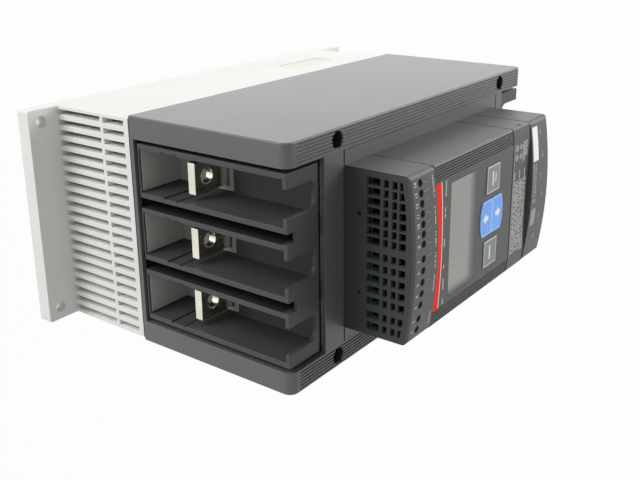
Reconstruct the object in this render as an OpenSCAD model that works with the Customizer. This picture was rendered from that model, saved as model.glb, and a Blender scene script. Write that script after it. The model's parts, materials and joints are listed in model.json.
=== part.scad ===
// Three-phase soft starter for wall or panel mounting, in millimetres.
// The wall is the plane y = 0, the front faces -y and the line terminals are at the +z end.
// Depths are measured forward from the wall, so a depth d lies at y = -d.

/* [Base] */
// Width of the light base
base_w = 127.5; // [124:0.5:129]
// Depth of the base in front of the wall
base_d = 68; // [66:0.5:74]
// Wall thickness of the base
base_wall = 3; // [2.5:0.1:3.5]
// Depth of the slotted ends of the base
grille_t = 7; // [5:0.5:7.5]
// Distance that the base stops short of the housing at the lower end
base_setback = 3; // [2:0.5:4]
// Thickness of the mounting flange
flange_t = 9.5; // [8:0.5:11]
// Reach of the flange beyond each end of the housing
flange_reach = 20; // [18:0.5:26]
// Diameter of the mounting holes
mount_hole_d = 6.6; // [5.5:0.1:7]
// Distance from the side of the flange to a mounting hole
mount_side = 7.5; // [6:0.5:10]
// Distance from the end of the flange to a mounting hole
mount_end = 8.5; // [7:0.5:10]

/* [Grille] */
// Rows of slots in each end of the base
grille_rows = 21; // [15:1:22]
// Length of the long slots
grille_long = 35.5; // [30:0.5:38]
// Bar between the long and the short slots
grille_bar = 2.5; // [2:0.5:4]
// Margin between the short slots and the front of the base
grille_margin = 4; // [3:0.5:5]

/* [Front housing] */
// Width over the side walls
housing_w = 131; // [128:0.5:132]
// Length from the line end to the load end
housing_l = 255; // [250:1:262]
// Depth of the side walls in front of the base
housing_d = 107.5; // [103:0.5:110]
// Thickness of a side wall
side_t = 12.5; // [11:0.5:13]
// Radius of the front corners of the side walls
corner_r = 5.5; // [4:0.5:7]
// Grooves along the front edge of each side wall
rib_count = 6; // [4:1:7]
// Thickness of the cross bars and the carrier plate
cover_t = 3; // [2.5:0.1:3.2]
// Diameter of the screw openings in the side walls
screw_bore_d = 9; // [8:0.1:9.4]

/* [Terminals] */
// Outside width of a terminal tray
tray_w = 30; // [29:0.5:31]
// Depth of the trays along the housing
tray_l = 30; // [28:0.5:32]
// Thickness of the tray plates
tray_plate = 3; // [2.5:0.1:3.2]
// Thickness of the front wall of a shroud
shroud_wall = 2.5; // [2:0.1:3]
// Gap between the shroud and the side walls
shroud_gap = 2.3; // [2:0.1:3]
// Width of the rounded opening in front of each tray
cutout_w = 14.5; // [12:0.5:16]
// Width of a terminal bar
bar_w = 17.5; // [16:0.5:18.5]
// Thickness of a terminal bar
bar_t = 5; // [4:0.5:5.5]
// Diameter of the cable bolt hole in a terminal bar
bar_hole_d = 8.5; // [8:0.1:9]

/* [Control module] */
// Width of the control module
module_w = 90; // [88:0.5:94]
// Length of the control module
module_l = 166; // [164:1:170]
// Depth of its sides in front of the housing
module_d = 37.5; // [36.5:0.5:40]
// Rise of the flat panel above the sides
panel_rise = 1; // [0.8:0.1:1.4]
// Rise of the arched caps above the sides
arch_rise = 4; // [3:0.5:5]
// Wall thickness of the covers
cover_wall = 2.5; // [2.2:0.1:2.8]
// Length of the upper terminal cap
upper_cap_l = 24; // [23:0.5:26]
// Length of the lower cap
lower_cap_l = 25; // [24:0.5:27]
// Length of the service cover
service_l = 23; // [22:0.5:25]

/* [Control terminals] */
// Spacing of the relay terminals
relay_pitch = 5.2; // [5:0.05:5.25]
// Spacing of the input and supply terminals
input_pitch = 6.35; // [6:0.05:6.4]
// Step between two groups of terminals
group_step = 7.9; // [7.6:0.1:8.1]
// Diameter of the screwdriver openings
driver_hole_d = 4; // [3.6:0.1:4.2]

/* [Display and keys] */
// Width of the display window
window_w = 64; // [60:0.5:66]
// Height of the display window
window_h = 30; // [26:0.5:31]
// Side of the square keys
key_size = 16; // [14:0.5:17]
// Width of the arrow keys
pad_w = 21; // [19:0.5:22]
// Height of the arrow keys together, at their sides
pad_h = 23.4; // [22:0.2:24]
// Rise of the rounded ends of the arrow keys
pad_bulge = 2.4; // [2:0.1:2.8]
// Travel of a key
key_travel = 0.5; // [0.3:0.1:0.6]

/* [Hidden] */
$fn = 48;

// Small clearances and the overshoot of cutting shapes
fit = 0.3;
over = 1;

// Main planes
end_z = housing_l / 2;
base_z = [-end_z + base_setback, end_z];
flange_z = end_z + flange_reach;
front_d = base_d + housing_d;
side_in = housing_w / 2 - side_t;
base_in = base_w / 2 - base_wall;

// Mounting holes and the flange
mount_x = base_w / 2 - mount_side;
mount_z = flange_z - mount_end;
flange_corner_r = 1.5;

// Grille slots: the outermost rows stay clear of the corners
grille_side = 3.5;
grille_pitch = (base_w - 2 * grille_side) / (grille_rows - 1);
grille_slot = grille_pitch / 2;

// Screws that hold the housing on the base
cover_screw = 4;
cover_screw_x = side_in + side_t / 2;
cover_screw_end = [40, 32.5];
cover_screw_z = [end_z - cover_screw_end[0], -end_z + cover_screw_end[1]];
cover_screw_foot = 12;
cover_screw_seat = base_d + cover_screw_foot;
boss_d = 9;
boss_l = 18;
boss_floor = 2;
boss_web = 4;
tip_gap = 2;

// Grooves on the front edges of the side walls
rib_pitch = side_t / (rib_count + 1);
rib_groove_w = 0.6;
rib_groove_d = 0.7;
rib_end = 7;

// Terminal shrouds
frame_strip = 3;
tray_lip = 1.2;
tray_lip_h = 1;
tray_inset = 1.8;
tray_end_inset = 1;
tray_z = [end_z - tray_end_inset - tray_l, end_z - tray_end_inset];
tray_out = side_in - shroud_gap;
tray_pitch = tray_out - tray_w / 2;
phase_x = [-tray_pitch, 0, tray_pitch];
shelf_t = 1.5;
shelf_rise = 5.7;
shelf_gap = 0.3;
shelf_rib_x = 7;
shelf_rib_inset = 8;
shelf_d = base_d + shelf_rise;
tray_d = [shelf_d - tray_lip_h, front_d - tray_inset];
tray_front_d = tray_d[1] - shroud_wall;
tray_back_t = 2;
shroud_front_l = 24.5;
tray_bridge_inset = 7;
cutout_r = 5;
cutout_l = 22.3;
tray_groove_at = [17.8, 27];
tray_groove_w = [1.2, 2];
tray_groove_depth = 0.9;
tray_channel_depth = 0.4;

// Light partition at the back of the terminal compartments
partition_t = 3;
partition_reach = 47;
partition_d = base_d + partition_reach;
partition_z = [tray_z[0] - partition_t, tray_z[0]];
bar_slot_gap = 0.75;

// Heat sink and its ledges in the base
sink_setback = 3;
sink_gap = 1;
sink_end_gap = 1.5;
sink_face = base_d - sink_setback;
sink_plate = 8;
sink_half_w = min(base_in, cover_screw_x - boss_d / 2) - sink_gap;
sink_half_l = partition_z[0] - sink_end_gap;
ledge_w = 4;
ledge_l = 10;
ledge_floor = 1;
fin_count = 15;
fin_t = 2;
fin_inset = 3.5;
fin_half = sink_half_w - ledge_w - fin_inset;
sink_screw = 3;
sink_screw_in = 8;
sink_screw_x = sink_half_w - ledge_w / 2;
sink_screw_z = sink_half_l - sink_screw_in;
base_front_t = 3;

// Cooling fans at the lower grille
fan_gap = 0.5;
fan_size = min((2 * base_in - 3 * fan_gap) / 2, base_d - base_front_t - base_wall - 2 * fan_gap);
fan_t = 17;
fan_x = (fan_size + fan_gap) / 2;
fan_d = (base_wall + base_d - base_front_t) / 2;
fan_z = [base_z[0] + grille_t, base_z[0] + grille_t + fan_t];
fan_bore = fan_size - 3;
fan_hub_d = 24;
fan_back_t = 4;
fan_strut_w = 4;
fan_pin_d = 4;
fan_pin_gap = 0.05;
fan_blades = 7;
fan_blade_t = 1.4;
fan_blade_tilt = 38;
fan_blade_root = 2;
fan_blade_trim = 0.5;
fan_hole_in = 5;
fan_hole_d = 4.3;
fan_pin_cover = 2;
fan_setback = 2;
rotor_end_gap = 0.6;
rotor_z = [fan_z[0] + fan_setback, fan_z[1] - fan_back_t - rotor_end_gap];
rotor_tip_gap = 1.2;

// Power stack, from the heat sink forward
thyristor_gap = 1.7;
thyristor_side_gap = 1;
thyristor_w = min(tray_pitch - thyristor_gap, 2 * (base_in - tray_pitch) - thyristor_side_gap);
thyristor_l = 94;
thyristor_body_l = 70;
thyristor_h = 30;
thyristor_foot = 8;
post_h = 9.3;
post_z = 26;
post_l = 14;
bar_d = [sink_face + thyristor_h + post_h, sink_face + thyristor_h + post_h + bar_t];
bar_inset = 5;
bar_hole_end = 9;
bar_z = [18, tray_z[1] - bar_inset];
bar_hole_z = bar_z[1] - bar_hole_end;
bar_screw = 6;
bar_screw_grip = 12;
post_hole_l = 14;
module_screw = 5;
module_screw_z = (thyristor_l + thyristor_body_l) / 4;
sensor_inset = 3;
sensor_w = thyristor_w - sensor_inset;
sensor_z = [-78, -62];
sensor_rim = 12;
sensor_gap = 1;

// Boards and the carrier plate
board_t = 1.6;
board_screw = 3;
power_post = 17;
power_board_d = front_d - cover_t - power_post - board_t;
power_board_half = [46, 58];
power_post_at = [42, 52];
power_screw_l = 10;
power_hole_end = 4;
post_d = 6;
relay_stand = 7.7;
relay_back_d = bar_d[1] + relay_stand;
relay_half_l = 45;
blade_z = [34, 44];
blade_inset = 2;
module_shift = 1.5;
carrier_tail = 5;
carrier_gap = 0.1;
crossbar_gap = 3.1;
module_z = [-module_l / 2 - module_shift, module_l / 2 - module_shift];
carrier_z = [module_z[0] - carrier_tail, module_z[1]];
crossbar_end = tray_z[1] - shroud_front_l - crossbar_gap;
carrier_ledge = 6;
carrier_screw_in = 8;
carrier_screw_x = 30;
carrier_screw_short = 0.5;
ledge_margin = 4;
control_post = 9.4;
control_board_d = front_d + control_post;
control_board_end = 6;
control_screw_l = 8;
control_half_w = 40;
control_post_at = [36, 50, -70];
carrier_rim_h = 4;
carrier_rim_t = 1.6;
link_half = [12, 6];
link_gap = 2;

// Covers of the control module
module_in = module_w / 2 - cover_wall;
side_d = front_d + module_d;
panel_d = side_d + panel_rise;
panel_in = panel_d - cover_wall;
arch_d = side_d + arch_rise;
arch_r = (pow(module_w / 2, 2) + pow(arch_rise, 2)) / (2 * arch_rise);
arch_centre = arch_d - arch_r;
cap_corner_r = 3;
cap_edge_r = 1.8;
flat_margin = 9.4;
flat_half = module_w / 2 - flat_margin;
panel_corner = 1;
seam = 0.9;
upper_cap_z = [module_z[1] - upper_cap_l, module_z[1]];
lower_cap_z = [module_z[0], module_z[0] + lower_cap_l];
service_z = [lower_cap_z[1] + seam, lower_cap_z[1] + service_l];
panel_z = [service_z[1] + seam, upper_cap_z[0] - seam];
panel_ribs = 6;
panel_rib_pitch = 1.4;
panel_rib_depth = 0.9;
panel_rib_first = 0.7;

// Control terminal rows, from the right-hand side
row_margin = 5.1;
row_first = module_w / 2 - row_margin;
relay_rows = [for (i = [0:6]) row_first - i * relay_pitch];
input_rows = [for (i = [0:4]) relay_rows[6] - group_step - i * input_pitch];
supply_rows = [for (i = [0:1]) input_rows[4] - group_step - i * input_pitch];
all_rows = concat(relay_rows, input_rows, supply_rows);
slot_h = 4.2;
slot_shift = 0.7;
entry_at = [13.3, 21.3];
entry_d = [front_d + entry_at[0], front_d + entry_at[1]];
entry_rim = 2;
vent_at = [[23.2, 26], [28.2, 31], [32.4, 36.4]];
vent_edge = 4;
pin_hole_at = [21.6, 8.7];
pin_hole_d = 2.4;
driver_inset = 9.3;
driver_z = module_z[1] - driver_inset;
connector_top = 23;
connector_back = 6;
connector_pocket = 5;
connector_side = 0.2;
connector_d = [control_board_d + board_t, front_d + connector_top];
connector_z = [driver_z - connector_back, module_z[1] - cover_wall - fit];
connector_screw_d = 3.4;
connector_screw_gap = 1;
connector_well = 3;
screw_slot_w = 0.7;
screw_slot_foot = 1.2;

// Display, keys and what lies behind them
window_top = 16.6;
window_z = [panel_z[1] - window_top - window_h, panel_z[1] - window_top];
window_t = 1.2;
window_rim = 0.6;
window_gap = 0.15;
key_drop = 19.4;
key_z = window_z[0] - key_drop;
key_x = 22.3;
key_corner_r = 1;
key_proud = 0.5;
key_gap = 0.3;
key_flange = 1.2;
key_flange_t = 1.4;
key_flange_gap = 0.2;
key_flange_inset = 1;
key_flange_d = [panel_in - key_flange_gap - key_flange_t, panel_in - key_flange_gap];
pad_top = pad_h / 2 + pad_bulge;
pad_r = (pow(pad_w / 2, 2) + pow(pad_bulge, 2)) / (2 * pad_bulge);
pad_split = 0.3;
lcd_t = 7.4;
lcd_margin = 3;
keypad_front_d = panel_in - lcd_t;
keypad_end = [4, 5.5];
keypad_z = [panel_z[0] + keypad_end[0], panel_z[1] - keypad_end[1]];
keypad_half_w = 40;
keypad_post_x = 37;
keypad_post_end = 4;
keypad_post_at = [keypad_post_x, keypad_z[1] - keypad_post_end, keypad_z[0] + keypad_post_end];
keypad_post_d = 5;
keypad_screw_l = 6;
keypad_hole_end = 1;
mat_half_w = 34;
mat_t = 1.2;
mat_margin = 1.8;
mat_gap = 2;
mat_z = [key_z - pad_top - mat_margin, window_z[0] - lcd_margin - mat_gap];
dome_d = 7;
dome_gap = 0.15;

// Thin printed and clip-on trim
strip_t = 0.3;
strip_h = 8.3;
strip_inset = 0.4;
tag_t = 0.4;
tag_x = [20, 41];
tag_h = 7.3;
tag_inset = 1.2;
grip_z = -68.5;
grip_half = [10, 26];
grip_setback = 31;
grip_d = base_d - grip_setback;
grip_depth = 1;
dimple_d = 2.4;
dimple_depth = 0.6;
dimple_at = [2.6, 12];

// A block given by its ranges across, forward and upward
module block(x, d, z) {
    translate([x[0], -d[1], z[0]])
        cube([x[1] - x[0], d[1] - d[0], z[1] - z[0]]);
}

// A block centred across the width
module wide_block(half, d, z) {
    block([-half, half], d, z);
}

// A round bar along the depth
module rod(x, z, d, diameter) {
    translate([x, -d[0], z])
        rotate([90, 0, 0])
            cylinder(d = diameter, h = d[1] - d[0]);
}

// A round bar across the width
module cross_rod(x, d, z, diameter) {
    translate([x[0], -d, z])
        rotate([0, 90, 0])
            cylinder(d = diameter, h = x[1] - x[0]);
}

// A plate with four rounded corners, seen from the front
module rounded_plate(x, d, z, r) {
    block([x[0] + r, x[1] - r], d, z);
    block(x, d, [z[0] + r, z[1] - r]);
    for (cx = [x[0] + r, x[1] - r], cz = [z[0] + r, z[1] - r])
        rod(cx, cz, d, 2 * r);
}

// The same shape at the line end and at the load end
module both_ends() {
    children();
    mirror([0, 0, 1])
        children();
}

// A socket screw: its head is forward of the seat, or behind it for dir = -1
module socket_screw(x, z, seat, shank, size, dir = 1) {
    head_h = 0.8 * size;
    translate([x, -seat, z])
        rotate([90 * dir, 0, 0])
            difference() {
                union() {
                    cylinder(d = 1.7 * size, h = head_h);
                    translate([0, 0, -shank])
                        cylinder(d = size, h = shank);
                }
                translate([0, 0, head_h / 2])
                    cylinder(d = 0.9 * size, h = head_h, $fn = 6);
            }
}

// Slots through one end wall of the base
module grille_slots(z) {
    long_d = [flange_t, flange_t + grille_long];
    short_d = [long_d[1] + grille_bar, base_d - grille_margin];
    for (i = [0:grille_rows - 1]) {
        x = (i - (grille_rows - 1) / 2) * grille_pitch;
        for (d = [long_d, short_d])
            block([x - grille_slot / 2, x + grille_slot / 2], d, z);
    }
}

// Light shelves and the partition behind the terminals of one end
module terminal_wall() {
    shelf_half = tray_w / 2 - tray_plate - shelf_gap;
    shelf_end = tray_z[1] - tray_lip - shelf_gap;
    for (x = phase_x) {
        block([x - shelf_half, x + shelf_half], [shelf_d - shelf_t, shelf_d], [partition_z[0], shelf_end]);
        for (s = [-1, 1])
            block([x + s * shelf_rib_x - shelf_t / 2, x + s * shelf_rib_x + shelf_t / 2],
                  [base_d - shelf_t, shelf_d], [partition_z[0], shelf_end - shelf_rib_inset]);
    }
    difference() {
        wide_block(tray_out, [base_d - shelf_t, partition_d], partition_z);
        for (x = phase_x)
            block([x - bar_w / 2 - bar_slot_gap, x + bar_w / 2 + bar_slot_gap],
                  [bar_d[0] - bar_slot_gap, bar_d[1] + bar_slot_gap],
                  [partition_z[0] - over, partition_z[1] + over]);
    }
}

module base_shell() {
    difference() {
        union() {
            rounded_plate([-base_w / 2, base_w / 2], [0, flange_t], [-flange_z, flange_z], flange_corner_r);
            wide_block(base_w / 2, [0, base_d], base_z);
        }
        wide_block(base_in, [base_wall, base_d - base_front_t],
                   [base_z[0] + grille_t, base_z[1] - grille_t]);
        wide_block(base_in, [base_wall, base_d + over], [-partition_z[0], partition_z[0]]);
        grille_slots([base_z[1] - grille_t - over, base_z[1] + over]);
        grille_slots([base_z[0] - over, base_z[0] + grille_t + over]);
        block([base_w / 2 - grip_depth, base_w / 2 + over], [grip_d - grip_half[0], grip_d + grip_half[0]],
              [grip_z - grip_half[1] + grip_half[0], grip_z + grip_half[1] - grip_half[0]]);
        for (s = [-1, 1])
            cross_rod([base_w / 2 - grip_depth, base_w / 2 + over], grip_d,
                      grip_z + s * (grip_half[1] - grip_half[0]), 2 * grip_half[0]);
    }
}

// Ledge of the heat sink and the screw bosses of the right-hand side
module base_supports() {
    ledge_front = sink_face - sink_plate;
    web_x = [min(cover_screw_x, base_in), max(cover_screw_x, base_in + base_wall / 2)];
    block([sink_half_w - ledge_w, base_in + over], [ledge_front - ledge_l, ledge_front],
          [-sink_half_l, sink_half_l]);
    for (z = cover_screw_z) {
        rod(cover_screw_x, z, [base_d - boss_l, base_d], boss_d);
        block(web_x, [base_d - boss_l, base_d], [z - boss_web / 2, z + boss_web / 2]);
    }
}

module base_housing() {
    color("#d8dad4")
        difference() {
            union() {
                base_shell();
                both_ends()
                    terminal_wall();
                base_supports();
                mirror([1, 0, 0])
                    base_supports();
            }
            for (x = [-mount_x, mount_x], z = [-mount_z, mount_z])
                rod(x, z, [-over, flange_t + over], mount_hole_d);
            for (x = [-cover_screw_x, cover_screw_x], z = cover_screw_z)
                rod(x, z, [base_d - boss_l + boss_floor, base_d + over], cover_screw + fit);
            for (x = [-sink_screw_x, sink_screw_x], z = [-sink_screw_z, sink_screw_z])
                rod(x, z, [sink_face - sink_plate - ledge_l + ledge_floor, base_d], sink_screw + fit);
        }
}

module heat_sink() {
    plate_back = sink_face - sink_plate;
    color("#b9bcc0")
        difference() {
            union() {
                wide_block(sink_half_w, [plate_back, sink_face], [-sink_half_l, sink_half_l]);
                for (i = [0:fin_count - 1]) {
                    x = -fin_half + i * (2 * fin_half - fin_t) / (fin_count - 1);
                    block([x, x + fin_t], [base_wall, plate_back + over], [-sink_half_l, sink_half_l]);
                }
            }
            for (x = [-sink_screw_x, sink_screw_x], z = [-sink_screw_z, sink_screw_z])
                rod(x, z, [plate_back - over, sink_face + over], sink_screw + fit);
            for (x = phase_x, z = [-module_screw_z, module_screw_z])
                rod(x, z, [plate_back, sink_face + over], module_screw + fit);
        }
}

module heat_sink_screws() {
    color("silver")
        for (x = [-sink_screw_x, sink_screw_x], z = [-sink_screw_z, sink_screw_z])
            socket_screw(x, z, sink_face, sink_plate + ledge_l - tip_gap, sink_screw);
}

// A fan frame, centred on its own axis
module fan_frame() {
    back_z = [fan_z[1] - fan_back_t, fan_z[1]];
    hole_at = fan_size / 2 - fan_hole_in;
    color("#26282a")
        difference() {
            union() {
                difference() {
                    wide_block(fan_size / 2, [-fan_size / 2, fan_size / 2], fan_z);
                    translate([0, 0, fan_z[0] - over])
                        cylinder(d = fan_bore, h = fan_t + 2 * over);
                }
                for (a = [45, 135])
                    rotate([0, 0, a])
                        wide_block((fan_size + fan_strut_w) / 2, [-fan_strut_w / 2, fan_strut_w / 2], back_z);
                translate([0, 0, back_z[0]])
                    cylinder(d = fan_hub_d, h = fan_back_t);
                translate([0, 0, rotor_z[0] + fan_pin_cover])
                    cylinder(d = fan_pin_d, h = back_z[1] - rotor_z[0] - fan_pin_cover);
            }
            for (x = [-1, 1], y = [-1, 1])
                translate([x * hole_at, y * hole_at, fan_z[0] - over])
                    cylinder(d = fan_hole_d, h = fan_t + 2 * over);
        }
}

// A fan rotor, centred on its own axis
module fan_rotor() {
    rotor_h = rotor_z[1] - rotor_z[0];
    reach = fan_bore / 2 - rotor_tip_gap;
    color("#323538")
        difference() {
            union() {
                translate([0, 0, rotor_z[0]])
                    cylinder(d = fan_hub_d, h = rotor_h);
                intersection() {
                    for (i = [0:fan_blades - 1])
                        rotate([0, 0, i * 360 / fan_blades])
                            translate([reach / 2 + fan_blade_root, 0, rotor_z[0] + rotor_h / 2])
                                rotate([fan_blade_tilt, 0, 0])
                                    cube([reach, fan_blade_t, 2 * rotor_h], center = true);
                    translate([0, 0, rotor_z[0] + fan_blade_trim])
                        cylinder(r = reach, h = rotor_h - 2 * fan_blade_trim);
                }
            }
            translate([0, 0, rotor_z[0] + fan_pin_cover - 2 * fan_pin_gap])
                cylinder(d = fan_pin_d + 2 * fan_pin_gap, h = rotor_h);
        }
}

module at_fan(side) {
    translate([side * fan_x, -fan_d, 0])
        children();
}

module left_fan_frame() {
    at_fan(-1) fan_frame();
}

module right_fan_frame() {
    at_fan(1) fan_frame();
}

module left_fan_rotor() {
    at_fan(-1) fan_rotor();
}

module right_fan_rotor() {
    at_fan(1) fan_rotor();
}

// One side wall with rounded front corners
module side_wall(x) {
    block(x, [base_d, front_d - corner_r], [-end_z, end_z]);
    block(x, [base_d, front_d], [-end_z + corner_r, end_z - corner_r]);
    for (s = [-1, 1])
        cross_rod(x, front_d - corner_r, s * (end_z - corner_r), 2 * corner_r);
}

// Fine grooves along the front edge of a side wall
module side_grooves(x0) {
    for (i = [1:rib_count]) {
        x = x0 + i * rib_pitch;
        block([x - rib_groove_w / 2, x + rib_groove_w / 2],
              [front_d - rib_groove_d, front_d + over], [-end_z + rib_end, end_z - rib_end]);
    }
}

module crossbar(z, ledge_z) {
    wide_block(side_in + over, [front_d - cover_t, front_d], z);
    wide_block(side_in + over, [front_d - 2 * cover_t, front_d - cover_t], ledge_z);
}

module front_housing() {
    lower_ledge = [carrier_z[0] - carrier_ledge, module_z[0] + carrier_screw_in + ledge_margin];
    upper_ledge = [module_z[1] - carrier_screw_in - ledge_margin, carrier_z[1] + carrier_ledge];
    color("#4d4f50")
        difference() {
            union() {
                side_wall([side_in, housing_w / 2]);
                side_wall([-housing_w / 2, -side_in]);
                both_ends()
                    wide_block(side_in + over, [base_d, base_d + frame_strip], [end_z - frame_strip, end_z]);
                crossbar([carrier_z[1] + seam, crossbar_end], upper_ledge);
                crossbar([-crossbar_end, carrier_z[0] - seam], lower_ledge);
            }
            side_grooves(side_in);
            side_grooves(-housing_w / 2);
            for (x = [-cover_screw_x, cover_screw_x], z = cover_screw_z) {
                rod(x, z, [cover_screw_seat, front_d + over], screw_bore_d);
                rod(x, z, [base_d - over, cover_screw_seat + over], cover_screw + 2 * fit);
            }
            for (x = [-carrier_screw_x, carrier_screw_x],
                 z = [module_z[0] + carrier_screw_in, module_z[1] - carrier_screw_in])
                rod(x, z, [front_d - 2 * cover_t - over, front_d], board_screw + fit);
        }
}

module cover_screws() {
    color("silver")
        for (x = [-cover_screw_x, cover_screw_x], z = cover_screw_z)
            socket_screw(x, z, cover_screw_seat, cover_screw_foot + boss_l - boss_floor - tip_gap,
                         cover_screw);
}

// The open inside of one tray, with a shallow channel between the barrier grooves in its plates
module tray_inside(x) {
    half = tray_w / 2 - tray_plate;
    channel = half + tray_channel_depth;
    open_z = [tray_z[0] + tray_back_t, end_z + over];
    block([x - half, x + half], [shelf_d, tray_front_d], open_z);
    block([x - half, x + half], [tray_d[0] - over, partition_d], [tray_z[0] - over, tray_z[1] - tray_lip]);
    block([x - channel, x + channel], [tray_d[0] + tray_groove_at[0], tray_d[0] + tray_groove_at[1]], open_z);
    for (i = [0, 1]) {
        d = tray_d[0] + tray_groove_at[i];
        block([x - half - tray_groove_depth, x + half + tray_groove_depth],
              [d, d + tray_groove_w[i]], open_z);
    }
}

// The rounded opening in the front wall of one tray
module tray_cutout(x) {
    half = cutout_w / 2;
    d = [tray_front_d - over, tray_d[1] + over];
    z0 = tray_z[1] - cutout_l;
    block([x - half, x + half], d, [z0 + cutout_r, end_z + over]);
    block([x - half + cutout_r, x + half - cutout_r], d, [z0, end_z + over]);
    for (s = [-1, 1])
        rod(x + s * (half - cutout_r), z0 + cutout_r, d, 2 * cutout_r);
}

module terminal_shroud() {
    front_z = tray_z[1] - shroud_front_l;
    color("#47494b")
        difference() {
            union() {
                for (x = phase_x)
                    block([x - tray_w / 2, x + tray_w / 2], tray_d, tray_z);
                wide_block(tray_pitch, [tray_front_d, tray_d[1]], [front_z, tray_z[1] - tray_bridge_inset]);
                wide_block(tray_pitch, [partition_d, tray_front_d], [tray_z[0], tray_z[0] + tray_back_t]);
            }
            for (x = phase_x) {
                tray_inside(x);
                tray_cutout(x);
            }
            wide_block(tray_out + over, [tray_front_d, front_d], [tray_z[0] - over, front_z]);
        }
}

module line_shroud() {
    terminal_shroud();
}

module load_shroud() {
    mirror([0, 0, 1])
        terminal_shroud();
}

// A flat terminal bar of one phase, at the line end
module terminal_bar(i) {
    x = phase_x[i];
    color("#cfcdbf")
        difference() {
            block([x - bar_w / 2, x + bar_w / 2], bar_d, bar_z);
            rod(x, bar_hole_z, [bar_d[0] - over, bar_d[1] + over], bar_hole_d);
            rod(x, post_z, [bar_d[0] - over, bar_d[1] + over], bar_screw + 2 * fit);
        }
}

module line_bar(i) {
    terminal_bar(i);
}

module load_bar(i) {
    mirror([0, 0, 1])
        terminal_bar(i);
}

module thyristor_module(i) {
    x = [phase_x[i] - thyristor_w / 2, phase_x[i] + thyristor_w / 2];
    body_d = [sink_face, sink_face + thyristor_h];
    color("#3b3e44")
        difference() {
            union() {
                block(x, [sink_face, sink_face + thyristor_foot], [-thyristor_l / 2, thyristor_l / 2]);
                block(x, body_d, [-thyristor_body_l / 2, thyristor_body_l / 2]);
                for (s = [-1, 1])
                    block([phase_x[i] - bar_w / 2, phase_x[i] + bar_w / 2], [body_d[1], bar_d[0]],
                          [s * post_z - post_l / 2, s * post_z + post_l / 2]);
            }
            for (s = [-1, 1]) {
                rod(phase_x[i], s * module_screw_z, [sink_face - over, body_d[1]], module_screw + 2 * fit);
                rod(phase_x[i], s * post_z, [bar_d[0] - post_hole_l, bar_d[0] + over], bar_screw + fit);
            }
        }
}

module module_screws() {
    color("silver")
        for (x = phase_x, z = [-module_screw_z, module_screw_z])
            socket_screw(x, z, sink_face + thyristor_foot, thyristor_foot + sink_plate - tip_gap,
                         module_screw);
}

module bar_screws() {
    color("silver")
        for (x = phase_x, z = [-post_z, post_z])
            socket_screw(x, z, bar_d[1], bar_t + bar_screw_grip, bar_screw);
}

module current_sensor(i) {
    x = phase_x[i];
    half = bar_w / 2 + sensor_gap;
    color("#2f5d8c")
        difference() {
            block([x - sensor_w / 2, x + sensor_w / 2], [sink_face, bar_d[1] + sensor_rim], sensor_z);
            block([x - half, x + half], [bar_d[0] - sensor_gap, bar_d[1] + sensor_gap],
                  [sensor_z[0] - over, sensor_z[1] + over]);
        }
}

module bypass_relay(i) {
    x = phase_x[i];
    blade_half = bar_w / 2 - blade_inset;
    color("#33363a") {
        block([x - sensor_w / 2, x + sensor_w / 2], [relay_back_d, power_board_d],
              [-relay_half_l, relay_half_l]);
        both_ends()
            block([x - blade_half, x + blade_half], [bar_d[1], relay_back_d], blade_z);
    }
}

module power_board() {
    board_d = [power_board_d, power_board_d + board_t];
    color("#2f6b45")
        difference() {
            wide_block(power_board_half[0], board_d, [-power_board_half[1], power_board_half[1]]);
            for (x = [-1, 1], z = [-1, 1])
                rod(x * power_post_at[0], z * power_post_at[1], [board_d[0] - over, board_d[1] + over],
                    board_screw + 2 * fit);
        }
}

module power_board_screws() {
    color("silver")
        for (x = [-1, 1], z = [-1, 1])
            socket_screw(x * power_post_at[0], z * power_post_at[1], power_board_d, power_screw_l,
                         board_screw, -1);
}

// The plate between the cross bars, with the posts of both boards
module module_carrier() {
    back_d = front_d - cover_t;
    rim = module_in - fit;
    rim_z = [module_z[0] + cover_wall + fit, module_z[1] - cover_wall - fit];
    rim_d = [front_d - over, front_d + carrier_rim_h];
    color("#454749")
        difference() {
            union() {
                wide_block(side_in - carrier_gap, [back_d, front_d], carrier_z);
                difference() {
                    wide_block(rim, rim_d, rim_z);
                    wide_block(rim - carrier_rim_t, [front_d, front_d + carrier_rim_h + over],
                               [rim_z[0] + carrier_rim_t, rim_z[1] - carrier_rim_t]);
                }
                for (x = [-1, 1], z = [-1, 1])
                    rod(x * power_post_at[0], z * power_post_at[1], [back_d - power_post, front_d], post_d);
                for (x = [-1, 1], i = [1, 2])
                    rod(x * control_post_at[0], control_post_at[i], [back_d, control_board_d], post_d);
            }
            wide_block(link_half[0] + link_gap, [back_d - over, front_d + over],
                       [-link_half[1] - link_gap, link_half[1] + link_gap]);
            for (x = [-1, 1], z = [-1, 1])
                rod(x * power_post_at[0], z * power_post_at[1],
                    [back_d - power_post - over, back_d - power_hole_end], board_screw + fit);
            for (x = [-1, 1], i = [1, 2])
                rod(x * control_post_at[0], control_post_at[i], [front_d, control_board_d + over],
                    board_screw + fit);
            for (x = [-carrier_screw_x, carrier_screw_x],
                 z = [module_z[0] + carrier_screw_in, module_z[1] - carrier_screw_in])
                rod(x, z, [back_d - over, front_d + over], board_screw + 2 * fit);
        }
}

module carrier_screws() {
    color("silver")
        for (x = [-carrier_screw_x, carrier_screw_x],
             z = [module_z[0] + carrier_screw_in, module_z[1] - carrier_screw_in])
            socket_screw(x, z, front_d, 2 * cover_t - carrier_screw_short, board_screw);
}

module board_link() {
    color("#232527")
        wide_block(link_half[0], [power_board_d + board_t, control_board_d], [-link_half[1], link_half[1]]);
}

module control_board() {
    board_d = [control_board_d, control_board_d + board_t];
    color("#2f6b45")
        difference() {
            wide_block(control_half_w, board_d, [module_z[0] + control_board_end, connector_z[1]]);
            for (x = [-1, 1], i = [1, 2])
                rod(x * control_post_at[0], control_post_at[i], [board_d[0] - over, board_d[1] + over],
                    board_screw + 2 * fit);
        }
}

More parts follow.
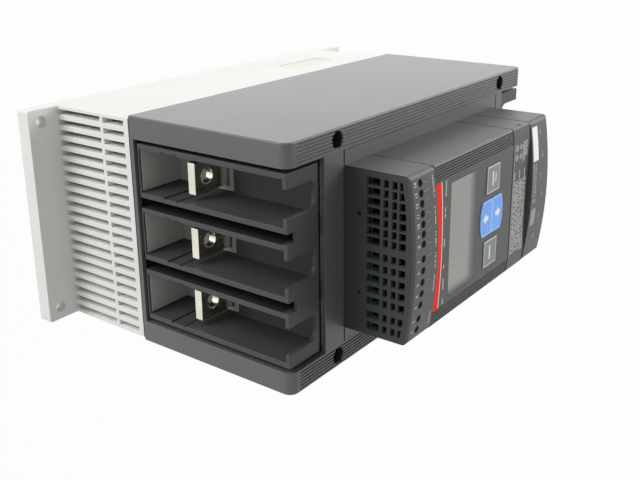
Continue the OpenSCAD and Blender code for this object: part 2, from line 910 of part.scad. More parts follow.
module control_board_screws() {
    color("silver")
        for (x = [-1, 1], i = [1, 2])
            socket_screw(x * control_post_at[0], control_post_at[i], control_board_d + board_t,
                         control_screw_l, board_screw);
}

// A green terminal block over a list of rows
module connector(rows, pitch) {
    half = slot_h / 2;
    last = len(rows) - 1;
    reach = pitch / 2 - connector_side;
    color("#20503a")
        difference() {
            block([rows[last] - reach, rows[0] + reach], connector_d, connector_z);
            for (x = rows) {
                block([x - half, x + half], [entry_d[0] + entry_rim, entry_d[1] - entry_rim],
                      [connector_z[1] - connector_pocket, connector_z[1] + over]);
                rod(x, driver_z, [connector_d[1] - connector_well, connector_d[1] + over],
                    connector_screw_d + fit);
            }
        }
}

module relay_connector() {
    connector(relay_rows, relay_pitch);
}

module input_connector() {
    connector(input_rows, input_pitch);
}

module supply_connector() {
    connector(supply_rows, input_pitch);
}

module connector_screws() {
    seat = connector_d[1] - connector_well;
    color("silver")
        for (x = all_rows)
            difference() {
                rod(x, driver_z, [seat, connector_d[1] - connector_screw_gap], connector_screw_d);
                block([x - connector_screw_d, x + connector_screw_d],
                      [seat + screw_slot_foot, connector_d[1]],
                      [driver_z - screw_slot_w / 2, driver_z + screw_slot_w / 2]);
            }
}

// Outline of an arched cap seen along the housing, moved inward by an inset
module arch_outline(inset) {
    half = module_w / 2 - inset;
    round_d = arch_centre + sqrt(pow(arch_r - cap_corner_r, 2) - pow(module_w / 2 - cap_corner_r, 2));
    corner_x = module_w / 2 - cap_corner_r;
    intersection() {
        translate([0, -arch_centre])
            circle(r = arch_r - inset, $fn = 200);
        union() {
            translate([-half, -round_d])
                square([2 * half, round_d - front_d]);
            translate([-corner_x, -arch_d])
                square([2 * corner_x, arch_d - front_d]);
            for (s = [-1, 1])
                translate([s * corner_x, -round_d])
                    circle(r = cap_corner_r - inset);
        }
    }
}

// Outline of the flat covers seen along the housing
module panel_outline() {
    half = module_w / 2;
    polygon([
        [-half, -front_d], [-half, -side_d + panel_corner], [-half + panel_corner, -side_d],
        [-flat_half, -panel_d], [flat_half, -panel_d],
        [half - panel_corner, -side_d], [half, -side_d + panel_corner], [half, -front_d],
    ]);
}

module along(z) {
    translate([0, 0, z[0]])
        linear_extrude(z[1] - z[0])
            children();
}

// Hollow of a cover: open towards the carrier
module cover_inside(z) {
    wide_block(module_in, [front_d - over, panel_in - panel_rise], z);
}

// Slots of the wiring end; the vents stop along the arch
module wiring_slots(rows) {
    half = slot_h / 2;
    through = [module_z[1] - cover_wall - over, module_z[1] + over];
    for (x = rows)
        block([x - slot_shift - half, x - slot_shift + half], entry_d, through);
    intersection() {
        for (x = rows, v = vent_at)
            block([x - slot_shift - half, x - slot_shift + half], [front_d + v[0], front_d + v[1]], through);
        translate([0, -arch_centre, through[0] - over])
            cylinder(r = arch_r - vent_edge, h = cover_wall + 4 * over, $fn = 200);
    }
}

// Rounding of the arched front edge at the outer end of a cap
module cap_edge_cut(end, dir) {
    translate([0, -arch_centre, end])
        mirror([0, 0, dir > 0 ? 0 : 1])
            rotate_extrude($fn = 200)
                translate([arch_r - cap_edge_r, -cap_edge_r])
                    difference() {
                        square(cap_edge_r + over);
                        circle(r = cap_edge_r);
                    }
}

module upper_cap() {
    color("#505253")
        difference() {
            along(upper_cap_z)
                arch_outline(0);
            cover_inside([upper_cap_z[0] - over, module_z[1] - cover_wall]);
            cap_edge_cut(module_z[1], 1);
            wiring_slots(all_rows);
            for (s = [-1, 1])
                rod_up(s * pin_hole_at[0] - slot_shift, front_d + pin_hole_at[1]);
            for (x = all_rows)
                rod(x, driver_z, [panel_in - 2 * panel_rise, arch_d + over], driver_hole_d);
        }
}

// A small round hole through the wiring end
module rod_up(x, d) {
    translate([x, -d, module_z[1] - cover_wall - over])
        cylinder(d = pin_hole_d, h = cover_wall + 2 * over);
}

// Outline of a key seen from the front, grown by a clearance; kind is square, up or down
module key_shape(x, d, kind, grow) {
    half = (kind == "square" ? key_size : pad_w) / 2 + grow;
    if (kind == "square")
        rounded_plate([x - half, x + half], d, [key_z - half, key_z + half], key_corner_r);
    else
        translate([0, 0, key_z])
            mirror([0, 0, kind == "up" ? 0 : 1])
                intersection() {
                    block([x - half, x + half], d, [pad_split / 2 - grow, pad_top + grow]);
                    rod(x, pad_top - pad_r, d, 2 * (pad_r + grow));
                }
}

module key_body(x, kind) {
    half = (kind == "square" ? key_size : pad_w) / 2;
    key_top = panel_d + key_proud;
    pad_side = pad_h / 2 - key_flange_inset;
    inner_z = kind == "square" ? [key_z - half + key_flange_inset, key_z + half - key_flange_inset]
        : kind == "up" ? [key_z + pad_split, key_z + pad_side]
        : [key_z - pad_side, key_z - pad_split];
    key_shape(x, [key_flange_d[1] - fit, key_top], kind, 0);
    block([x - half - key_flange, x + half + key_flange], key_flange_d, inner_z);
}

module left_key() {
    color("#6a6c6e")
        key_body(-key_x, "square");
}

module right_key() {
    color("#6a6c6e")
        key_body(key_x, "square");
}

module up_key() {
    color("#4f78d8")
        key_body(0, "up");
}

module down_key() {
    color("#4f78d8")
        key_body(0, "down");
}

// Grooves along both edges of the keypad front
module panel_grooves() {
    slope = panel_rise / (module_w / 2 - panel_corner - flat_half);
    for (s = [-1, 1], i = [0:panel_ribs - 1]) {
        reach = panel_rib_first + i * panel_rib_pitch;
        x = s * (flat_half + reach);
        floor_d = panel_d - slope * reach - panel_rib_depth;
        block([x - rib_groove_w / 2, x + rib_groove_w / 2], [floor_d, panel_d + over],
              [panel_z[0] - over, panel_z[1] + over]);
    }
}

module display_cover() {
    through = [panel_in - 2 * panel_rise, panel_d + over];
    lens = [window_w / 2, window_h / 2];
    middle = (window_z[0] + window_z[1]) / 2;
    color("#4b4d4f")
        difference() {
            union() {
                difference() {
                    along(panel_z)
                        panel_outline();
                    wide_block(module_in, [front_d - over, panel_in], [panel_z[0] - over, panel_z[1] + over]);
                }
                for (x = [-1, 1], i = [1, 2])
                    rod(x * keypad_post_at[0], keypad_post_at[i], [keypad_front_d, panel_in + over / 2],
                        keypad_post_d);
            }
            panel_grooves();
            wide_block(lens[0], [panel_d - window_t, panel_d + over], window_z);
            wide_block(lens[0] - window_rim, through,
                       [middle - lens[1] + window_rim, middle + lens[1] - window_rim]);
            for (s = [-1, 1])
                key_shape(s * key_x, through, "square", key_gap);
            key_shape(0, through, "up", key_gap);
            key_shape(0, through, "down", key_gap);
            for (x = [-1, 1], i = [1, 2])
                rod(x * keypad_post_at[0], keypad_post_at[i],
                    [keypad_front_d - over, panel_in - keypad_hole_end], board_screw + fit);
        }
}

module service_cover() {
    color("#4b4d4f")
        difference() {
            along(service_z)
                panel_outline();
            wide_block(module_in, [front_d - over, panel_in], [service_z[0] - over, service_z[1] + over]);
            cross_rod([module_w / 2 - dimple_depth, module_w / 2 + over], side_d - dimple_at[0],
                      service_z[1] - dimple_at[1], dimple_d);
        }
}

module lower_cap() {
    color("#505253")
        difference() {
            along(lower_cap_z)
                arch_outline(0);
            cover_inside([module_z[0] + cover_wall, lower_cap_z[1] + over]);
            cap_edge_cut(module_z[0], -1);
        }
}

module display_window() {
    half = window_w / 2 - window_gap;
    color("#9b9a92")
        wide_block(half, [panel_d - window_t, panel_d], [window_z[0] + window_gap, window_z[1] - window_gap]);
}

module display_panel() {
    color("#8f958c")
        wide_block(window_w / 2 + lcd_margin, [keypad_front_d, panel_in],
                   [window_z[0] - lcd_margin, window_z[1] + lcd_margin]);
}

module keypad_board() {
    board_d = [keypad_front_d - board_t, keypad_front_d];
    color("#2f6b45")
        difference() {
            wide_block(keypad_half_w, board_d, keypad_z);
            for (x = [-1, 1], i = [1, 2])
                rod(x * keypad_post_at[0], keypad_post_at[i], [board_d[0] - over, board_d[1] + over],
                    board_screw + 2 * fit);
        }
}

module keypad_board_screws() {
    color("silver")
        for (x = [-1, 1], i = [1, 2])
            socket_screw(x * keypad_post_at[0], keypad_post_at[i], keypad_front_d - board_t, keypad_screw_l,
                         board_screw, -1);
}

// The rubber sheet with one dome behind each key
module key_mat() {
    dome_d1 = key_flange_d[0] - key_travel - dome_gap;
    pad_dome_z = pad_h / 4;
    color("#d0d0cc") {
        wide_block(mat_half_w, [keypad_front_d, keypad_front_d + mat_t], mat_z);
        for (at = [[-key_x, 0], [key_x, 0], [0, pad_dome_z], [0, -pad_dome_z]])
            rod(at[0], key_z + at[1], [keypad_front_d, dome_d1], dome_d);
    }
}

// The strip's inner edge is curved like the arch of the caps
module red_strip() {
    strip_d = [panel_d, panel_d + strip_t];
    strip_z = [panel_z[1] - strip_h, panel_z[1]];
    color("#d8332b")
        intersection() {
            wide_block(flat_half - strip_inset, strip_d, strip_z);
            rod(0, strip_z[0] + arch_r, strip_d, 2 * arch_r, $fn = 200);
        }
}

module marker_tag() {
    tag_z = [lower_cap_z[1] - tag_inset - tag_h, lower_cap_z[1] - tag_inset];
    color("#f2f2ee")
        difference() {
            along(tag_z)
                intersection() {
                    translate([0, -arch_centre])
                        circle(r = arch_r + tag_t, $fn = 200);
                    translate([tag_x[0], -arch_d - over])
                        square([tag_x[1] - tag_x[0], 4 * arch_rise]);
                }
            along([tag_z[0] - over, tag_z[1] + over])
                translate([0, -arch_centre])
                    circle(r = arch_r, $fn = 200);
        }
}

base_housing();
heat_sink();
heat_sink_screws();
left_fan_frame();
right_fan_frame();
left_fan_rotor();
right_fan_rotor();
front_housing();
cover_screws();
line_shroud();
load_shroud();
line_bar(0);  // line_bar_1
line_bar(1);  // line_bar_2
line_bar(2);  // line_bar_3
load_bar(0);  // load_bar_1
load_bar(1);  // load_bar_2
load_bar(2);  // load_bar_3
thyristor_module(0);  // thyristor_module_1
thyristor_module(1);  // thyristor_module_2
thyristor_module(2);  // thyristor_module_3
module_screws();
bar_screws();
current_sensor(0);  // current_sensor_1
current_sensor(1);  // current_sensor_2
current_sensor(2);  // current_sensor_3
bypass_relay(0);  // bypass_relay_1
bypass_relay(1);  // bypass_relay_2
bypass_relay(2);  // bypass_relay_3
power_board();
power_board_screws();
module_carrier();
carrier_screws();
board_link();
control_board();
control_board_screws();
relay_connector();
input_connector();
supply_connector();
connector_screws();
upper_cap();
display_cover();
service_cover();
lower_cap();
display_window();
display_panel();
keypad_board();
keypad_board_screws();
key_mat();
left_key();
right_key();
up_key();
down_key();
red_strip();
marker_tag();
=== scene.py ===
import json
import math

import bmesh
import bpy
from mathutils import Matrix, Vector


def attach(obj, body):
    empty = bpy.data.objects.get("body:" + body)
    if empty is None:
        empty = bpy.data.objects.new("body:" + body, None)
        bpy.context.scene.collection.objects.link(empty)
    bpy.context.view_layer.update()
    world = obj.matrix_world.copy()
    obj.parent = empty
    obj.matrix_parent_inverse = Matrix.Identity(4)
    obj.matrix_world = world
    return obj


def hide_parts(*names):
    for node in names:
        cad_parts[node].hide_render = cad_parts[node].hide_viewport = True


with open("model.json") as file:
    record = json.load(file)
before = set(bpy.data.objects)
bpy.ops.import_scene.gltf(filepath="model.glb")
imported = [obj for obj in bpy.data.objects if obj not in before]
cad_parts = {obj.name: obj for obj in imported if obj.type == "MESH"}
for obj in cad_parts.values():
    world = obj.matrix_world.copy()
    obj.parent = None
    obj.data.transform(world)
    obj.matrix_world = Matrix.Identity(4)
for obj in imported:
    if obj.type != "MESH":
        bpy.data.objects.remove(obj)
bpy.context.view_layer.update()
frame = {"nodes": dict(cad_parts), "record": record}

MM = 0.001
X, Y, Z = range(3)


# Places taken from the frame


def span(node, axis):
    """Lowest and highest place of a CAD piece along an axis."""
    places = [vert.co[axis] / MM for vert in frame["nodes"][node].data.vertices]
    return round(min(places), 3), round(max(places), 3)


def middle(node, axis):
    """Middle of a CAD piece along an axis."""
    return sum(span(node, axis)) / 2


def front(node):
    """Depth of the foremost place of a CAD piece."""
    return -span(node, Y)[0]


ARCH_TOP_D = front("upper_cap")
SLOTTED_END_Z = span("upper_cap", Z)[1]
PANEL_D = front("display_cover")
STRIP_TOP_D = front("red_strip")
STRIP_HALF = span("red_strip", X)[1]
KEY_TOP_D = front("right_key")
KEY_X = middle("right_key", X)
KEY_Z = middle("right_key", Z)
BASE_FRONT_D = front("base_housing")
HOUSING_BACK_D = -span("front_housing", Y)[1]
RELAY_X = span("relay_connector", X)

# Depths of the base where shade is painted: where the housing covers it, seen through the gaps between the
# trays, and on its terminal shelves, each a little past the faces
GAP_SHADE_D = (HOUSING_BACK_D - 0.1, HOUSING_BACK_D + 0.3)
SHELF_D = (GAP_SHADE_D[1], BASE_FRONT_D + 1.0)

# Other places that finishes and marks follow
ARCH_R = 255.125
STRIP_EDGE_Z = 48.3
DRIVER_Z = 72.2
# Screw bores, where shade is painted inside
BORE_X = 59.25
BORE_Z = (87.5, -95.0)
BORE_R = 4.55
# Gaps between the trays, where shade is painted
TRAY_SIDES = (14.9, 20.8)
TRAY_D = (0.0, 170.0)
# Grip recess, darker with a faint warm tint and painted shade
GRIP_X = (56.0, 63.3)
GRIP_D = (26.0, 48.0)
GRIP_Z = (-95.5, -41.5)
# Edges of the display window, where shade is painted
WINDOW_SHADE_X = (-32.5, -26.0)
WINDOW_SHADE_Z = (11.0, 20.5)

# Control terminals in three groups: first place, spacing and count
TERMINAL_GROUPS = ((39.9, 5.2, 7), (0.8, 6.35, 5), (-32.5, 6.35, 2))
TERMINAL_X = [first - pitch * i for first, pitch, count in TERMINAL_GROUPS for i in range(count)]


def arch_depth(x):
    """Depth of the arched caps at a place across the width."""
    return ARCH_TOP_D - ARCH_R + math.sqrt(ARCH_R**2 - x**2)


# Parts of a finish

# Range of values that the patterns fill
PATTERN_RANGE = (0.3, 0.7)

# Grain of mouldings: scale of its pattern and depth
MOULD_GRAIN = (2600.0, 0.00004)
BASE_GRAIN = (2200.0, 0.00002)
SATIN_GRAIN = (3000.0, 0.00001)

# How far roughness falls below and rises above its value
MOULD_SPREAD = (0.05, 0.07)
METAL_SPREAD = (0.07, 0.1)

# Depth of the drawing lines on metal
DRAWN_LINE = 0.00002
FINE_LINE = 0.000005


def tone(code, level=1.0):
    """Linear colour of a six-digit screen colour."""
    parts = [int(code[i : i + 2], 16) / 255 for i in (0, 2, 4)]
    linear = [p / 12.92 if p <= 0.04045 else ((p + 0.055) / 1.055) ** 2.4 for p in parts]
    return tuple(min(1.0, c * level) for c in linear) + (1.0,)


def new_finish(name):
    """A node material with its shader and the object coordinates."""
    material = bpy.data.materials.new(name)
    material.use_nodes = True
    tree = material.node_tree
    shader = tree.nodes["Principled BSDF"]
    place = tree.nodes.new("ShaderNodeTexCoord").outputs["Object"]
    return material, tree, shader, place


def noise(tree, place, scale, detail=2.0, stretch=None):
    """A noise pattern on the object coordinates, stretched along an axis if asked."""
    if stretch:
        mapping = tree.nodes.new("ShaderNodeMapping")
        mapping.inputs["Scale"].default_value = stretch
        tree.links.new(place, mapping.inputs["Vector"])
        place = mapping.outputs["Vector"]
    pattern = tree.nodes.new("ShaderNodeTexNoise")
    pattern.inputs["Scale"].default_value = scale
    pattern.inputs["Detail"].default_value = detail
    tree.links.new(place, pattern.inputs["Vector"])
    return pattern.outputs["Fac"]


def roughen(tree, shader, pattern, roughness, reach):
    """A roughness that reaches below and above a value, led by a pattern."""
    node = tree.nodes.new("ShaderNodeMapRange")
    node.inputs["From Min"].default_value = PATTERN_RANGE[0]
    node.inputs["From Max"].default_value = PATTERN_RANGE[1]
    node.inputs["To Min"].default_value = roughness - reach[0]
    node.inputs["To Max"].default_value = roughness + reach[1]
    tree.links.new(pattern, node.inputs["Value"])
    tree.links.new(node.outputs["Result"], shader.inputs["Roughness"])


def tint(tree, shader, pattern, colour, low, high):
    """A base colour between two levels of one tone, led by a pattern."""
    ramp = tree.nodes.new("ShaderNodeValToRGB")
    for stop, position, level in zip(ramp.color_ramp.elements, PATTERN_RANGE, (low, high)):
        stop.position = position
        stop.color = tone(colour, level)
    tree.links.new(pattern, ramp.inputs["Fac"])
    tree.links.new(ramp.outputs["Color"], shader.inputs["Base Color"])


def grain(tree, shader, height, depth):
    """Surface grain from a pattern, with its depth."""
    bump = tree.nodes.new("ShaderNodeBump")
    bump.inputs["Strength"].default_value = 1.0
    bump.inputs["Distance"].default_value = depth
    tree.links.new(height, bump.inputs["Height"])
    tree.links.new(bump.outputs["Normal"], shader.inputs["Normal"])


def object_axes(tree):
    """The three object coordinates of a material."""
    axes = tree.nodes.new("ShaderNodeSeparateXYZ")
    tree.links.new(tree.nodes["Texture Coordinate"].outputs["Object"], axes.inputs["Vector"])
    return axes.outputs


def calc(tree, operation, *values):
    """One step of arithmetic on sockets or plain numbers."""
    step = tree.nodes.new("ShaderNodeMath")
    step.operation = operation
    for socket, value in zip(step.inputs, values):
        if isinstance(value, float):
            socket.default_value = value
        else:
            tree.links.new(value, socket)
    return step.outputs[0]


def within(tree, value, low, high):
    """One where a coordinate lies between two places, nought elsewhere."""
    return calc(tree, "COMPARE", value, (low + high) / 2 * MM, (high - low) / 2 * MM)


def at_depth(tree, axes, near, far):
    """One between two depths, nought elsewhere."""
    return within(tree, axes["Y"], -far, -near)


def rising(tree, value, low, high):
    """A soft rise from nought to one between two places."""
    fade = tree.nodes.new("ShaderNodeMapRange")
    fade.interpolation_type = "SMOOTHSTEP"
    fade.inputs["From Min"].default_value = low * MM
    fade.inputs["From Max"].default_value = high * MM
    tree.links.new(value, fade.inputs["Value"])
    return fade.outputs["Result"]


def retone(material, share, colour):
    """Another colour on a share of a finish."""
    tree = material.node_tree
    base = tree.nodes["Principled BSDF"].inputs["Base Color"]
    mix = tree.nodes.new("ShaderNodeMix")
    mix.data_type = "RGBA"
    tree.links.new(share, mix.inputs["Factor"])
    tree.links.new(base.links[0].from_socket, mix.inputs["A"])
    mix.inputs["B"].default_value = tone(colour)
    tree.links.new(mix.outputs["Result"], base)


# Plastics


def moulded(name, colour, roughness=0.5, mottle=0.05, specular=0.4, texture=MOULD_GRAIN):
    """Moulded plastic with a fine eroded grain and faint flow marks."""
    scale, depth = texture
    material, tree, shader, place = new_finish(name)
    flow = noise(tree, place, scale=28.0, detail=3.0)
    fine = noise(tree, place, scale)
    tint(tree, shader, flow, colour, 1 - mottle, 1 + mottle)
    roughen(tree, shader, fine, roughness, MOULD_SPREAD)
    shader.inputs["Specular IOR Level"].default_value = specular
    grain(tree, shader, fine, depth)
    return material


def satin(name, colour, roughness, mottle, specular=0.25):
    """Smooth plastic or print with hardly any grain."""
    return moulded(name, colour, roughness, mottle, specular, SATIN_GRAIN)


def ink(name, colour, roughness=0.55, mottle=0.08):
    """Dull printing ink."""
    return satin(name, colour, roughness, mottle, specular=0.2)


def base_plastic(name, colour, painted_shelf_shade, painted_gap_shade, grip_tint_and_shade):
    """Light moulded plastic with painted shade: greyer on the shelves, dark on the face under the housing
    seen between the trays, and darker and warmer in the grip, a faint tint with painted shade.
    """
    material = moulded(name, colour, roughness=0.65, mottle=0.02, specular=0.12, texture=BASE_GRAIN)
    tree = material.node_tree
    axes = object_axes(tree)
    # Painted shade: a greyer tone on the terminal shelves
    retone(material, at_depth(tree, axes, *SHELF_D), painted_shelf_shade)
    # Painted shade: a dark tone on the face under the housing, seen through the gaps between the trays
    retone(material, at_depth(tree, axes, *GAP_SHADE_D), painted_gap_shade)
    # A darker, warmer tone in the grip recess: a faint tint with painted shade
    recess = calc(tree, "MULTIPLY", within(tree, axes["X"], *GRIP_X), within(tree, axes["Z"], *GRIP_Z))
    retone(material, calc(tree, "MULTIPLY", recess, at_depth(tree, axes, *GRIP_D)), grip_tint_and_shade)
    return material


def plastic_with_painted_bore_shade(name, colour, deep):
    """Dark moulded plastic with painted shade inside the screw bores of the side walls."""
    material = moulded(name, colour, roughness=0.4, specular=0.55)
    tree = material.node_tree
    axes = object_axes(tree)
    across = calc(tree, "SUBTRACT", calc(tree, "ABSOLUTE", axes["X"]), BORE_X * MM)
    for z in BORE_Z:
        along = calc(tree, "SUBTRACT", axes["Z"], z * MM)
        reach = calc(tree, "ADD", calc(tree, "POWER", across, 2.0), calc(tree, "POWER", along, 2.0))
        # Painted shade: a deep tone inside each screw bore
        retone(material, calc(tree, "LESS_THAN", reach, (BORE_R * MM) ** 2), deep)
    return material


def shroud_with_painted_gap_shade(name, colour, deep):
    """Dark moulded plastic, with painted shade between the trays."""
    material = moulded(name, colour, specular=0.35)
    tree = material.node_tree
    axes = object_axes(tree)
    beside = within(tree, calc(tree, "ABSOLUTE", axes["X"]), *TRAY_SIDES)
    # Painted shade: a deep tone in the gaps between the trays
    retone(material, calc(tree, "MULTIPLY", beside, at_depth(tree, axes, *TRAY_D)), deep)
    return material


def cap_with_painted_end_shade(name, colour, deep):
    """Dark moulded plastic, with painted shade on the slotted end."""
    material = moulded(name, colour, roughness=0.45, specular=0.35)
    tree = material.node_tree
    skin = 0.15
    # Painted shade: a deep tone on the slotted end
    retone(material, within(tree, object_axes(tree)["Z"], SLOTTED_END_Z - skin, SLOTTED_END_Z + skin), deep)
    return material


def connector_plastic(name, colour, deep):
    """Green moulded plastic, nearly black on the connector of the relays."""
    material = moulded(name, colour, specular=0.25)
    tree = material.node_tree
    margin = 1.0
    retone(material, within(tree, object_axes(tree)["X"], RELAY_X[0] - margin, RELAY_X[1] + margin), deep)
    return material


# Metal, boards and display


def drawn_metal(name, colour, roughness, stretch, line_depth=DRAWN_LINE):
    """Metal with fine lines along its drawing direction."""
    material, tree, shader, place = new_finish(name)
    lines = noise(tree, place, scale=900.0, detail=3.0, stretch=stretch)
    cloud = noise(tree, place, scale=60.0)
    tint(tree, shader, cloud, colour, low=0.88, high=1.06)
    roughen(tree, shader, lines, roughness, METAL_SPREAD)
    shader.inputs["Metallic"].default_value = 1.0
    grain(tree, shader, lines, line_depth)
    return material


def circuit_board(name, mask, track):
    """Solder mask with faint tracks under it."""
    material, tree, shader, place = new_finish(name)
    mapping = tree.nodes.new("ShaderNodeMapping")
    mapping.inputs["Rotation"].default_value = (math.radians(90), 0, 0)
    tree.links.new(place, mapping.inputs["Vector"])
    bricks = tree.nodes.new("ShaderNodeTexBrick")
    bricks.inputs["Scale"].default_value = 120.0
    bricks.inputs["Mortar Size"].default_value = 0.06
    bricks.inputs["Color1"].default_value = tone(mask, 0.9)
    bricks.inputs["Color2"].default_value = tone(mask, 1.1)
    bricks.inputs["Mortar"].default_value = tone(track)
    tree.links.new(mapping.outputs["Vector"], bricks.inputs["Vector"])
    tree.links.new(bricks.outputs["Color"], shader.inputs["Base Color"])
    shader.inputs["Roughness"].default_value = 0.35
    return material


def hazed_window(name, colour, edge):
    """Hazed lens that shows the display as a pale field, with painted shade darkening it towards its lower
    and left-hand edges.
    """
    material, tree, shader, place = new_finish(name)
    haze = noise(tree, place, scale=40.0)
    tint(tree, shader, haze, colour, low=0.97, high=1.03)
    axes = object_axes(tree)
    upward = rising(tree, axes["Z"], *WINDOW_SHADE_Z)
    across = rising(tree, axes["X"], *WINDOW_SHADE_X)
    # Painted shade: the edge colour towards the lower and left-hand edges
    retone(material, calc(tree, "SUBTRACT", 1.0, calc(tree, "MULTIPLY", upward, across)), edge)
    shader.inputs["Roughness"].default_value = 0.3
    shader.inputs["Specular IOR Level"].default_value = 0.3
    shader.inputs["Alpha"].default_value = 0.9
    return material


def lcd_sheet(name, colour):
    """Reflective display sheet with its fine columns."""
    material, tree, shader, place = new_finish(name)
    columns = tree.nodes.new("ShaderNodeTexWave")
    columns.bands_direction = "X"
    columns.inputs["Scale"].default_value = 900.0
    columns.inputs["Distortion"].default_value = 0.0
    tree.links.new(place, columns.inputs["Vector"])
    tint(tree, shader, columns.outputs["Fac"], colour, low=0.95, high=1.05)
    shader.inputs["Roughness"].default_value = 0.45
    return material


# Finish of each material slot and of the inks

FINISHES = {
    "light_plastic": base_plastic(
        "light_grey_plastic", "e4e5e1", painted_shelf_shade="b8b9b4", painted_gap_shade="3a3b3a", grip_tint_and_shade="e0e0d8"
    ),
    "dark_plastic": plastic_with_painted_bore_shade("dark_grey_plastic", "575958", deep="282929"),
    "shroud_plastic": shroud_with_painted_gap_shade("shroud_plastic", "414343", deep="282929"),
    "module_plastic": cap_with_painted_end_shade("module_plastic", "505251", deep="363837"),
    "panel_plastic": moulded("panel_plastic", "4a4c4b", roughness=0.45),
    "heat_sink_metal": drawn_metal("extruded_aluminium", "b9bcc0", roughness=0.42, stretch=(1.0, 1.0, 0.02)),
    "tinned_bar": drawn_metal("tinned_copper", "e6e2d2", 0.2, stretch=(1.0, 1.0, 0.03), line_depth=FINE_LINE),
    "screw_steel": drawn_metal("zinc_plated_steel", "c4c5c3", roughness=0.3, stretch=(1.0, 1.0, 1.0)),
    "black_plastic": moulded("black_plastic", "26282a", mottle=0.06),
    "blue_plastic": moulded("blue_plastic", "2f5d8c", mottle=0.06),
    "green_plastic": connector_plastic("green_plastic", "16382a", deep="101614"),
    "board": circuit_board("circuit_board", mask="2f6b45", track="4d8a5f"),
    "window": hazed_window("display_lens", "a6a6a2", edge="5e605f"),
    "display": lcd_sheet("display_sheet", "bababa"),
    "grey_key": satin("grey_key", "8b8e90", roughness=0.5, mottle=0.03),
    "blue_key": satin("blue_key", "7cb0ff", roughness=0.45, mottle=0.03),
    "red_print": satin("red_print", "fa3522", roughness=0.5, mottle=0.04, specular=0.1),
    "white_tag": satin("white_tag", "f6f5f1", roughness=0.5, mottle=0.02),
    "mat_rubber": moulded("mat_rubber", "d0d0cc", roughness=0.7, mottle=0.06),
}
PALE_INK = ink("pale_ink", "eceeea", mottle=0.03)
LABEL_INK = ink("label_ink", "cccec8")
SKETCH_INK = ink("sketch_ink", "9c9e99")
SKY_INK = ink("sky_ink", "c4dcff", roughness=0.5, mottle=0.03)

SLOT_OF = {piece["node"]: piece["material_slot"] for piece in frame["record"]["subparts"]}
for node_name, node_object in frame["nodes"].items():
    node_object.data.materials.clear()
    node_object.data.materials.append(FINISHES[SLOT_OF[node_name]])


# Making of pieces

# Angles between faces: shading breaks above the first, outer edges are eased above the second
SMOOTH_LIMIT = math.radians(50.0)
SHARP_LIMIT = math.radians(35.0)

# Angle and distance within which the triangles of a CAD piece are joined
FLAT_LIMIT = math.radians(0.4)
MERGE_REACH = 0.002


def keep_piece(name, bm, slot, finish=None, body="starter"):
    """A finished piece from a mesh in metres, riding on its body, with shading led by its large faces."""
    for face in bm.faces:
        face.smooth = True
    for edge in bm.edges:
        edge.smooth = edge.is_manifold and edge.calc_face_angle(math.pi) < SMOOTH_LIMIT
    mesh = bpy.data.meshes.new(name)
    bm.to_mesh(mesh)
    bm.free()
    piece = bpy.data.objects.new(name, mesh)
    bpy.context.collection.objects.link(piece)
    piece.data.materials.append(finish or FINISHES[slot])
    shading = piece.modifiers.new("shading", "WEIGHTED_NORMAL")
    shading.mode = "FACE_AREA"
    shading.weight = 100
    shading.keep_sharp = True
    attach(piece, body)
    return piece


def keep_print(name, bm, finish, body="starter"):
    """A finished print from a mesh in millimetres."""
    bmesh.ops.scale(bm, vec=(MM, MM, MM), verts=bm.verts)
    keep_piece(name, bm, "white_tag", finish, body)


def close_print(name, bm, finish, body="starter"):
    """A finished print from fields of ink that may be drawn either way round."""
    bmesh.ops.recalc_face_normals(bm, faces=bm.faces)
    keep_print(name, bm, finish, body)


# Softened shells, bars and keys

# Radius of the outer edges of each kind of piece
BASE_EDGE_R = 0.35
HOUSING_EDGE_R = 0.2
SHROUD_EDGE_R = 0.3
CAP_EDGE_R = 0.03
COVER_EDGE_R = 0.1
BAR_EDGE_R = 0.5
KEY_EDGE_R = 0.12

# Radius of the housing's edges along its two sides, and how far in from a side they lie
HOUSING_SIDE_R = 0.9
SIDE_BAND = 0.6


def outer_edges(bm):
    """The sharp outer edges of a mesh."""
    return [e for e in bm.edges if e.is_manifold and e.is_convex and e.calc_face_angle(0.0) > SHARP_LIMIT]


def side_edges(bm, side_x):
    """The sharp outer edges that lie wholly beyond a place on either side."""
    return [e for e in outer_edges(bm) if all(abs(v.co.x) > side_x * MM for v in e.verts)]


def ease(bm, edges, edge_r, segments):
    """Round the given edges of a mesh by a radius."""
    bmesh.ops.bevel(
        bm,
        geom=edges,
        offset=edge_r * MM,
        offset_type="OFFSET",
        affect="EDGES",
        segments=segments,
        profile=0.5,
        material=-1,
        clamp_overlap=False,
    )


def softened(node, edge_r, body="starter", side_r=None):
    """A copy of a CAD piece with its outer edges eased, in the piece's place; its sides may be rounder."""
    bm = bmesh.new()
    bm.from_mesh(frame["nodes"][node].data)
    bmesh.ops.remove_doubles(bm, verts=bm.verts, dist=MERGE_REACH * MM)
    bmesh.ops.dissolve_limit(
        bm, angle_limit=FLAT_LIMIT, use_dissolve_boundaries=False, verts=bm.verts, edges=bm.edges
    )
    if side_r:
        ease(bm, side_edges(bm, span(node, X)[1] - SIDE_BAND), side_r, segments=3)
    ease(bm, outer_edges(bm), edge_r, segments=2)
    piece = keep_piece(node + "_eased", bm, SLOT_OF[node], body=body)
    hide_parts(node)


softened("base_housing", BASE_EDGE_R)
softened("front_housing", HOUSING_EDGE_R, side_r=HOUSING_SIDE_R)
for shroud in ("line_shroud", "load_shroud"):
    softened(shroud, SHROUD_EDGE_R)
for cap in ("upper_cap", "lower_cap"):
    softened(cap, CAP_EDGE_R)
for cover in ("display_cover", "service_cover"):
    softened(cover, COVER_EDGE_R)
for bar in range(1, 4):
    softened("line_bar_%d" % bar, BAR_EDGE_R)
    softened("load_bar_%d" % bar, BAR_EDGE_R)
for key in ("left_key", "right_key", "up_key", "down_key"):
    softened(key, KEY_EDGE_R, body=key)


